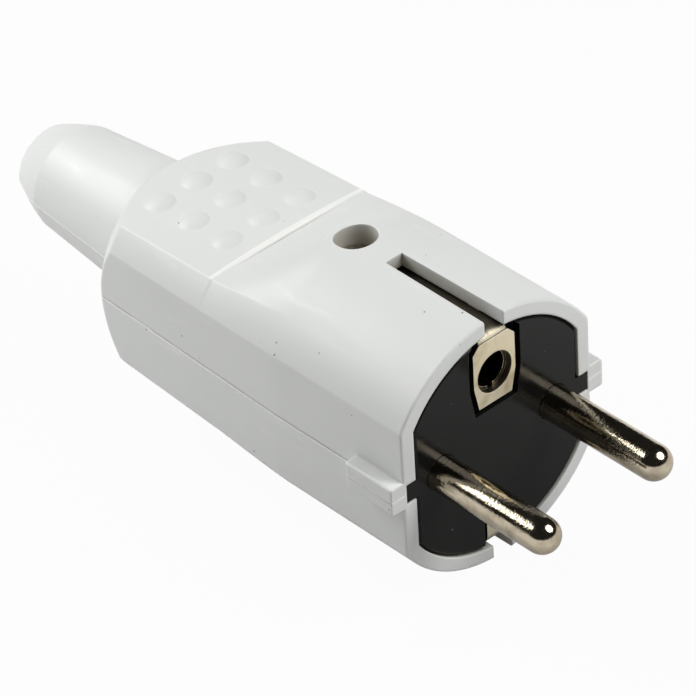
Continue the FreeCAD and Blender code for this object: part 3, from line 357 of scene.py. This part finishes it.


# brass strip, rolled, stamped and nickel plated: beige grey with fine rolling lines, brighter where
# the stamped edges are rubbed, with dark brown painted shade where it lies in the slots
def stampedNickelStrip(look):
    material, tree = startMaterial("stampedNickelStrip")
    place = addNode(tree, "TexCoord", {}).outputs["Object"]
    tint = addNode(tree, "TexNoise", {
        "Vector": place, "Scale": perMm(look["tintSize"]), "Detail": look["tintDetail"],
    })
    stain = addNode(tree, "MapRange", {
        "Value": tint.outputs["Fac"], "From Min": look["stainFrom"], "From Max": look["stainTo"],
    })
    aged = addNode(tree, "Mix", {
        mixFactor: stain.outputs["Result"], mixFirst: linear(look["body"]),
        mixSecond: linear(look["tarnish"]),
    }, data_type="RGBA")
    # painted shade: darker where the strip is hemmed in
    room = addNode(tree, "AmbientOcclusion", {
        "Distance": look["hollow"] * mm,
    }, samples=look["samples"]).outputs["AO"]
    shadeMask = addNode(tree, "MapRange", {
        "Value": room, "From Min": look["shadeFrom"], "From Max": look["shadeTo"], "To Max": look["shadeMost"],
    })
    # the strip's faces that face up or down are darkened
    flat = addNode(tree, "NewGeometry", {})
    facing = addNode(tree, "SeparateXYZ", {"Vector": flat.outputs["Normal"]})
    upright = addNode(tree, "Math", {0: facing.outputs["Z"]}, operation="ABSOLUTE")
    facingDark = addNode(tree, "MapRange", {
        "Value": upright.outputs["Value"], "From Min": look["facingFrom"], "From Max": look["facingTo"],
        "To Max": look["facingMost"],
    })
    dark = addNode(tree, "Math", {
        0: shadeMask.outputs["Result"], 1: facingDark.outputs["Result"],
    }, operation="MAXIMUM")
    plain = addNode(tree, "Mix", {
        mixFactor: dark.outputs["Value"], mixFirst: aged.outputs[mixResult], mixSecond: linear(look["shadeTone"]),
    }, data_type="RGBA")
    # an edge is where the rounded normal leaves the flat one
    edge = addNode(tree, "Bevel", {"Radius": look["edge"] * mm}, samples=look["samples"])
    turn = addNode(tree, "VectorMath", {
        0: edge.outputs["Normal"], 1: flat.outputs["Normal"],
    }, operation="DOT_PRODUCT")
    brightened = addNode(tree, "MapRange", {
        "Value": turn.outputs["Value"], "From Min": look["wornFrom"], "From Max": look["wornTo"],
    })
    colour = addNode(tree, "Mix", {
        mixFactor: brightened.outputs["Result"], mixFirst: plain.outputs[mixResult],
        mixSecond: linear(look["worn"]),
    }, data_type="RGBA")
    # rolling lines are finer than a pixel and are drawn coarser so that they show
    along = addNode(tree, "Mapping", {"Vector": place, "Scale": look["rollingStretch"]})
    lines = addNode(tree, "TexNoise", {
        "Vector": along.outputs["Vector"], "Scale": perMm(look["rolling"]), "Detail": look["rollingDetail"],
    })
    sheen = addNode(tree, "MapRange", {
        "Value": lines.outputs["Fac"], "From Min": look["sheenFrom"], "From Max": look["sheenTo"],
        "To Min": look["shiny"], "To Max": look["dull"],
    })
    relief = addNode(tree, "Bump", {
        "Height": lines.outputs["Fac"], "Strength": look["rollingStrength"],
        "Distance": look["rollingDepth"] * mm, "Normal": edge.outputs["Normal"],
    })
    shader = addNode(tree, "BsdfPrincipled", {
        "Base Color": colour.outputs[mixResult], "Metallic": 1.0, "Roughness": sheen.outputs["Result"],
        "Normal": relief.outputs["Normal"],
    })
    addNode(tree, "OutputMaterial", {"Surface": shader.outputs["BSDF"]})
    return material


screwLook = {
    "body": "#C2B8A8", "rust": "#8A745B", "tintSize": 1.2, "tintDetail": 5.0,
    "stainFrom": 0.45, "stainTo": 0.7,
    "dull": 0.45, "shiny": 0.22, "sheenFrom": 0.3, "sheenTo": 0.7,
    "edge": 0.12, "samples": 6,
    "grain": 0.2, "grainDetail": 3.0, "grainStrength": 0.3, "grainDepth": 0.01,
}


# steel, cold headed and zinc plated: dull grey with brownish stains and a soft grain
def zincPlatedSteel(look):
    material, tree = startMaterial("zincPlatedSteel")
    place = addNode(tree, "TexCoord", {}).outputs["Object"]
    tint = addNode(tree, "TexNoise", {
        "Vector": place, "Scale": perMm(look["tintSize"]), "Detail": look["tintDetail"],
    })
    stain = addNode(tree, "MapRange", {
        "Value": tint.outputs["Fac"], "From Min": look["stainFrom"], "From Max": look["stainTo"],
    })
    colour = addNode(tree, "Mix", {
        mixFactor: stain.outputs["Result"], mixFirst: linear(look["body"]), mixSecond: linear(look["rust"]),
    }, data_type="RGBA")
    # zinc's grain is finer than a pixel and is drawn coarser so that it shows
    grain = addNode(tree, "TexNoise", {
        "Vector": place, "Scale": perMm(look["grain"]), "Detail": look["grainDetail"],
    })
    sheen = addNode(tree, "MapRange", {
        "Value": grain.outputs["Fac"], "From Min": look["sheenFrom"], "From Max": look["sheenTo"],
        "To Min": look["shiny"], "To Max": look["dull"],
    })
    edge = addNode(tree, "Bevel", {"Radius": look["edge"] * mm}, samples=look["samples"])
    relief = addNode(tree, "Bump", {
        "Height": grain.outputs["Fac"], "Strength": look["grainStrength"],
        "Distance": look["grainDepth"] * mm, "Normal": edge.outputs["Normal"],
    })
    shader = addNode(tree, "BsdfPrincipled", {
        "Base Color": colour.outputs[mixResult], "Metallic": 1.0, "Roughness": sheen.outputs["Result"],
        "Normal": relief.outputs["Normal"],
    })
    addNode(tree, "OutputMaterial", {"Surface": shader.outputs["BSDF"]})
    return material


housing = mouldedWhiteAbs(housingLook)
carrier = mouldedBlackPolyamide(carrierLook)
pinMetal = turnedNickelBrass(pinLook)
stripMetal = stampedNickelStrip(stripLook)
screwMetal = zincPlatedSteel(screwLook)
finishes = {
    "upper_shell": housing, "lower_shell": housing, "cord_clamp_bar": housing,
    "contact_carrier": carrier,
    "live_pin": pinMetal, "neutral_pin": pinMetal, "earth_socket_tube": pinMetal,
    "earth_strap": stripMetal,
}
for name in nodes:
    nodes[name].data.materials.clear()
    nodes[name].data.materials.append(finishes.get(name, screwMetal))  # screws, nut and washer are left
print("materials given to", len(nodes), "pieces")


studioLook = {
    "white": "#FFFFFF", "floor": "#CCCCCC", "floorSize": 1400.0, "floorGap": 0.05, "floorLift": 0.96,
    "mirrorNear": 0.36, "mirrorFar": 0.97, "nearPlug": 15.0, "farPlug": 55.0,
    "shade": 0.15, "wallTop": 0.06, "ceilingFrom": 0.2, "ceiling": 0.02,
    "aim": (0.0, 20.0, 0.0),
    "boxes": {
        "frontBox": {"place": (118.0, -167.0, 235.0), "wide": 220.0, "deep": 220.0, "power": 0.69},
        "rearBox": {"place": (-104.0, 228.0, 172.0), "wide": 240.0, "deep": 180.0, "power": 0.57},
    },
}


# white paper sweep: seen white by camera, metal and gloss, with a trace of the plug's shadow
def paperFloor(look):
    material, tree = startMaterial("paperFloor")
    ray = addNode(tree, "LightPath", {})
    seen = addNode(tree, "Math", {
        0: ray.outputs["Is Camera Ray"], 1: look["floorLift"],
    }, operation="MULTIPLY")
    other = addNode(tree, "Math", {
        0: ray.outputs["Is Glossy Ray"], 1: ray.outputs["Is Transmission Ray"],
    }, operation="MAXIMUM")
    # mirrored, the paper is duller in the plug's own shade
    place = addNode(tree, "TexCoord", {}).outputs["Object"]
    away = addNode(tree, "VectorMath", {0: place}, operation="LENGTH")
    paperWhite = addNode(tree, "MapRange", {
        "Value": away.outputs["Value"], "From Min": look["nearPlug"] * mm, "From Max": look["farPlug"] * mm,
        "To Min": look["mirrorNear"], "To Max": look["mirrorFar"],
    })
    glow = addNode(tree, "MapRange", {
        "Value": ray.outputs["Is Camera Ray"], "To Min": paperWhite.outputs["Result"], "To Max": 1.0,
    })
    lift = addNode(tree, "Math", {
        0: seen.outputs["Value"], 1: other.outputs["Value"],
    }, operation="MAXIMUM")
    paper = addNode(tree, "BsdfDiffuse", {"Color": linear(look["floor"])})
    white = addNode(tree, "Emission", {"Color": linear(look["white"]), "Strength": glow.outputs["Result"]})
    both = addNode(tree, "MixShader", {
        0: lift.outputs["Value"], 1: paper.outputs["BSDF"], 2: white.outputs["Emission"],
    })
    addNode(tree, "OutputMaterial", {"Surface": both.outputs["Shader"]})
    return material


# the room: white where it is seen, softer where it lights,
# and metal finds white walls under a dim ceiling
def whiteRoom(look):
    world = bpy.data.worlds.new("whiteRoom")
    world.use_nodes = True
    world.node_tree.nodes.clear()
    tree = world.node_tree
    ray = addNode(tree, "LightPath", {})
    seen = addNode(tree, "Math", {
        0: ray.outputs["Is Camera Ray"], 1: ray.outputs["Is Transmission Ray"],
    }, operation="MAXIMUM")
    shown = addNode(tree, "Math", {
        0: seen.outputs["Value"], 1: ray.outputs["Is Glossy Ray"],
    }, operation="MAXIMUM")
    height = addNode(tree, "SeparateXYZ", {"Vector": addNode(tree, "TexCoord", {}).outputs["Generated"]})
    wall = addNode(tree, "MapRange", {
        "Value": height.outputs["Z"], "From Min": look["wallTop"], "From Max": look["ceilingFrom"],
        "To Min": 1.0, "To Max": look["ceiling"],
    })
    white = addNode(tree, "Math", {
        0: seen.outputs["Value"], 1: wall.outputs["Result"],
    }, operation="MAXIMUM")
    strength = addNode(tree, "MapRange", {
        "Value": shown.outputs["Value"], "To Min": look["shade"], "To Max": white.outputs["Value"],
    })
    sky = addNode(tree, "Background", {
        "Color": linear(look["white"]), "Strength": strength.outputs["Result"],
    })
    addNode(tree, "OutputWorld", {"Surface": sky.outputs["Background"]})
    return world


def buildStudio(look):
    scene = bpy.context.scene
    half = look["floorSize"] / 2 * mm
    level = cadBox[0].z - look["floorGap"] * mm
    corners = [(-half, -half, level), (half, -half, level), (half, half, level), (-half, half, level)]
    mesh = bpy.data.meshes.new("paperSweep")
    mesh.from_pydata(corners, [], [(0, 1, 2, 3)])
    floor = bpy.data.objects.new("paperSweep", mesh)
    scene.collection.objects.link(floor)
    mesh.materials.append(paperFloor(look))
    scene.world = whiteRoom(look)
    # a soft round lamp in front and one behind
    for name, box in look["boxes"].items():
        light = bpy.data.lights.new(name, "AREA")
        light.shape = "ELLIPSE"
        light.size = box["wide"] * mm
        light.size_y = box["deep"] * mm
        light.energy = box["power"]
        lamp = bpy.data.objects.new(name, light)
        lamp.location = Vector(box["place"]) * mm
        aim = Vector(look["aim"]) * mm - lamp.location
        lamp.rotation_euler = aim.to_track_quat("-Z", "Y").to_euler()
        lamp.visible_camera = False
        scene.collection.objects.link(lamp)
    scene.view_settings.view_transform = "Standard"


buildStudio(studioLook)
print("studio lit")


# long lens, from the front left and above, with a slight roll
cameraLook = {
    "azimuth": -40.87, "elevation": 37.52, "roll": -3.6, "focalPixels": 5000.0, "imagePixels": 696.0,
    "right": 18.35, "up": -10.84, "distance": 609.7, "sensor": 36.0, "nearest": 10.0,
}


def placeCamera(look):
    turn, rise, roll = (math.radians(look[key]) for key in ("azimuth", "elevation", "roll"))
    back = Vector((math.sin(turn) * math.cos(rise), -math.cos(turn) * math.cos(rise), math.sin(rise)))
    level = Vector((math.cos(turn), math.sin(turn), 0.0))
    upright = back.cross(level)
    right = math.cos(roll) * level + math.sin(roll) * upright
    up = -math.sin(roll) * level + math.cos(roll) * upright
    lens = bpy.data.cameras.new("photoCamera")
    lens.sensor_width = look["sensor"]
    lens.lens = look["focalPixels"] / look["imagePixels"] * lens.sensor_width
    lens.clip_start = look["nearest"] * mm
    camera = bpy.data.objects.new("photoCamera", lens)
    spot = (look["distance"] * back - look["right"] * right - look["up"] * up) * mm
    camera.matrix_world = Matrix.Translation(spot) @ Matrix((right, up, back)).transposed().to_4x4()
    bpy.context.scene.collection.objects.link(camera)
    bpy.context.scene.camera = camera


placeCamera(cameraLook)
print("camera placed")
